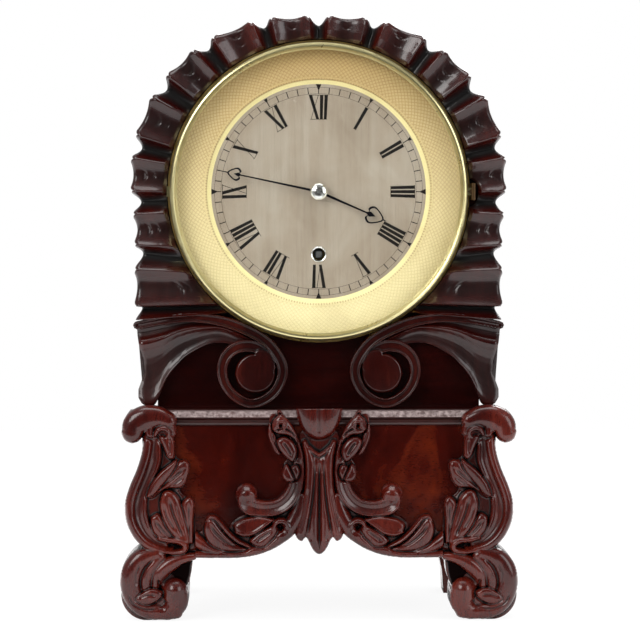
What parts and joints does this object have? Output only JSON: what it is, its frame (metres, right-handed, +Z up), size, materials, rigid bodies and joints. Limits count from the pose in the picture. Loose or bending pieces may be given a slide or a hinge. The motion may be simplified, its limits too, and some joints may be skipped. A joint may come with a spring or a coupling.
{
  "type": "mantel clock",
  "caption": "Arched wooden mantel clock with a carved scalloped surround, scroll consoles, a round silvered dial under a hinged convex glass, and a fusee movement with pendulum",
  "frame": {"origin": "under the middle of the case, on the table", "axes": "+Z up, the dial faces -Y, +X to the right of someone facing the dial"},
  "size_m": [0.2244, 0.1321, 0.3429],
  "materials": {
    "mahogany": "french polished, glossy, dark red-brown",
    "dark_mahogany": "polished, nearly black in the shade",
    "figured_mahogany": "french polished, with a lively figure",
    "brass": "polished and lacquered",
    "gilt": "gilt, polished",
    "silvered": "silvered, satin",
    "steel": "polished steel",
    "blued": "dark blued steel",
    "glass": "clear",
    "gut": "twisted gut"
  },
  "bodies": {
    "case": {"front_board": "dark_mahogany", "carved_surround": "mahogany", "volute_left": "mahogany", "volute_right": "mahogany", "case_shell": "dark_mahogany", "seat_board": "dark_mahogany", "seat_rails": "dark_mahogany", "base_carcass": "dark_mahogany", "base_top": "mahogany", "base_panel": "figured_mahogany", "console_left": "mahogany", "console_right": "mahogany", "apron_left": "mahogany", "apron_right": "mahogany", "centre_drop": "mahogany", "rear_feet": "dark_mahogany", "door_hinges": "brass", "door_keeper": "brass", "bezel_seat": "brass", "dial_plate": "silvered", "mask_ring": "gilt", "winding_collet": "silvered", "front_plate": "brass", "back_plate": "brass", "pillars": "brass", "barrel_arbor": "steel", "barrel_click": "steel", "gut_line": "gut", "back_cock": "brass", "hour_bridge": "brass"},
    "door": {"back_door": "dark_mahogany", "door_glass": "glass"},
    "button": {"door_button": "brass"},
    "bezel": {"bezel": "gilt", "bezel_glass": "glass"},
    "centre": {"centre_arbor": "steel", "centre_wheel": "brass", "taper_pin": "steel"},
    "minute": {"cannon_pinion": "brass", "minute_hand": "blued", "hand_collet": "steel"},
    "minute_wheel": {"minute_wheel": "brass"},
    "hour": {"hour_wheel": "brass", "hour_hand": "blued"},
    "great": {"great_wheel": "brass"},
    "click": {"great_click": "steel"},
    "fusee": {"fusee": "brass", "fusee_arbor": "steel"},
    "barrel": {"barrel": "brass", "mainspring": "steel"},
    "third": {"third_arbor": "steel", "third_wheel": "brass"},
    "escape": {"escape_arbor": "steel", "escape_wheel": "brass"},
    "pallets": {"pallet_arbor": "steel", "anchor": "steel"},
    "pendulum": {"pendulum_rod": "steel", "suspension_spring": "steel"},
    "bob": {"pendulum_bob": "brass"},
    "nut": {"rating_nut": "brass"}
  },
  "joints": [
    {"name": "centre_turn", "type": "hinge", "parent": "case", "child": "centre", "pos_m": [0, 0, 0.2425], "axis": [0, 1, 0], "continuous": true},
    {"name": "minute_hand_turn", "type": "hinge", "parent": "case", "child": "minute", "pos_m": [0, 0, 0.2425], "axis": [0, 1, 0], "continuous": true},
    {"name": "minute_wheel_turn", "type": "hinge", "parent": "case", "child": "minute_wheel", "pos_m": [0.018, 0, 0.2425], "axis": [0, 1, 0], "continuous": true},
    {"name": "hour_hand_turn", "type": "hinge", "parent": "case", "child": "hour", "pos_m": [0, 0, 0.2425], "axis": [0, 1, 0], "continuous": true},
    {"name": "great_wheel_turn", "type": "hinge", "parent": "case", "child": "great", "pos_m": [0, 0, 0.2068], "axis": [0, 1, 0], "continuous": true},
    {"name": "third_turn", "type": "hinge", "parent": "case", "child": "third", "pos_m": [0.02051, 0, 0.26052], "axis": [0, 1, 0], "continuous": true},
    {"name": "escape_turn", "type": "hinge", "parent": "case", "child": "escape", "pos_m": [0, 0, 0.27115], "axis": [0, 1, 0], "continuous": true},
    {"name": "fusee_winding", "type": "hinge", "parent": "great", "child": "fusee", "pos_m": [0, 0, 0.2068], "axis": [0, 1, 0], "range_deg": [0, 5400]},
    {"name": "barrel_turn", "type": "hinge", "parent": "case", "child": "barrel", "pos_m": [-0.037, 0, 0.1785], "axis": [0, 1, 0], "range_deg": [0, 3213.1]},
    {"name": "great_click_lift", "type": "hinge", "parent": "great", "child": "click", "pos_m": [0.0072, 0, 0.19433], "axis": [0, 1, 0], "range_deg": [0, 10], "stiffness_Nm_per_rad": 0.002, "springref_deg": -5.73},
    {"name": "pendulum_swing", "type": "hinge", "parent": "case", "child": "pendulum", "pos_m": [0, 0.0245, 0.29094], "axis": [0, 1, 0], "range_deg": [-3, 3]},
    {"name": "crutch_swing", "type": "hinge", "parent": "case", "child": "pallets", "pos_m": [0, 0.0245, 0.29094], "axis": [0, 1, 0], "range_deg": [-3, 3]},
    {"name": "bob_slide", "type": "slide", "parent": "pendulum", "child": "bob", "axis": [0, 0, 1], "range_m": [-0.005, 0.005]},
    {"name": "nut_turn", "type": "hinge", "parent": "bob", "child": "nut", "pos_m": [0, 0.0245, 0.064], "axis": [0, 0, 1], "range_deg": [-3600, 3600]},
    {"name": "bezel_open", "type": "hinge", "parent": "case", "child": "bezel", "pos_m": [0.0876, -0.0505, 0.2425], "axis": [0, 0, 1], "range_deg": [0, 105]},
    {"name": "door_open", "type": "hinge", "parent": "case", "child": "door", "pos_m": [0.0888, 0.061, 0.2], "axis": [0, 0, -1], "range_deg": [0, 110]},
    {"name": "door_button_turn", "type": "hinge", "parent": "door", "child": "button", "pos_m": [-0.072, 0.058, 0.2225], "axis": [0, 1, 0], "range_deg": [-90, 0]}
  ],
  "couplings": [
    {"joint": "minute_hand_turn", "follows": "centre_turn", "ratio": 1},
    {"joint": "minute_wheel_turn", "follows": "centre_turn", "ratio": -1},
    {"joint": "hour_hand_turn", "follows": "centre_turn", "ratio": 0.083333},
    {"joint": "great_wheel_turn", "follows": "centre_turn", "ratio": -0.083333},
    {"joint": "third_turn", "follows": "centre_turn", "ratio": -12},
    {"joint": "escape_turn", "follows": "centre_turn", "ratio": 132},
    {"joint": "barrel_turn", "follows": "fusee_winding", "ratio": 0.5939},
    {"joint": "crutch_swing", "follows": "pendulum_swing", "ratio": 1},
    {"joint": "nut_turn", "follows": "bob_slide", "rad_per_m": 12566}
  ]
}
